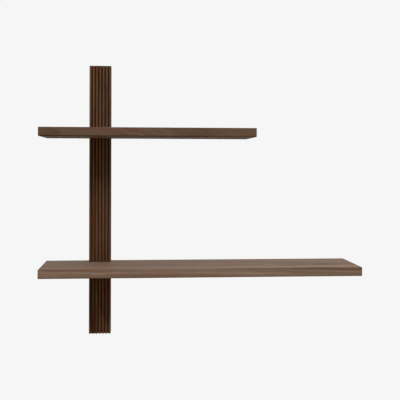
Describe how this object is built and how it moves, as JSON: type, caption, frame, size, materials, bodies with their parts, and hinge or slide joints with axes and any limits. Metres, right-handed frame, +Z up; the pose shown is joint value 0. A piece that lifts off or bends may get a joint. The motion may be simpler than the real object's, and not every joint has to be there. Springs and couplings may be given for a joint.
{
  "type": "wall shelf",
  "caption": "Wall shelf with a short upper board and a long lower board notched round a ribbed wooden upright, held on concealed steel rod brackets.",
  "frame": {"origin": "centre of the upright's back face, on the wall, halfway up the upright", "axes": "+X along the boards to their free ends, +Y into the wall, +Z up"},
  "size_m": [0.9, 0.2, 0.788],
  "materials": {
    "walnut_boards": "satin oil",
    "walnut_upright": "satin oil",
    "zinc_steel": "zinc plated",
    "black_steel": "black oxide",
    "insert_brass": "turned"
  },
  "bodies": {
    "wall_brackets": {"upper_bracket_plate": "zinc_steel", "upper_bracket_rod_left": "zinc_steel", "upper_bracket_rod_right": "zinc_steel", "upper_end_plate": "zinc_steel", "upper_end_rod": "zinc_steel", "lower_bracket_plate": "zinc_steel", "lower_bracket_rod_left": "zinc_steel", "lower_bracket_rod_right": "zinc_steel", "lower_end_plate": "zinc_steel", "lower_end_rod": "zinc_steel"},
    "upright": {"upright": "walnut_upright"},
    "upper_board": {"upper_shelf": "walnut_boards", "upper_lock_insert_left": "insert_brass", "upper_lock_insert_right": "insert_brass", "upper_lock_insert_end": "insert_brass", "upper_lock_screw_left": "black_steel", "upper_lock_screw_right": "black_steel", "upper_lock_screw_end": "black_steel"},
    "lower_board": {"lower_shelf": "walnut_boards", "lower_lock_insert_left": "insert_brass", "lower_lock_insert_right": "insert_brass", "lower_lock_insert_end": "insert_brass", "lower_lock_screw_left": "black_steel", "lower_lock_screw_right": "black_steel", "lower_lock_screw_end": "black_steel"}
  },
  "joints": [
    {"name": "upright_draw", "type": "slide", "parent": "wall_brackets", "child": "upright", "axis": [0, -1, 0], "range_m": [0, 0.15]},
    {"name": "upper_board_draw", "type": "slide", "parent": "upright", "child": "upper_board", "axis": [0, -1, 0], "range_m": [0, 0.15]},
    {"name": "lower_board_draw", "type": "slide", "parent": "upright", "child": "lower_board", "axis": [0, -1, 0], "range_m": [0, 0.15]}
  ]
}
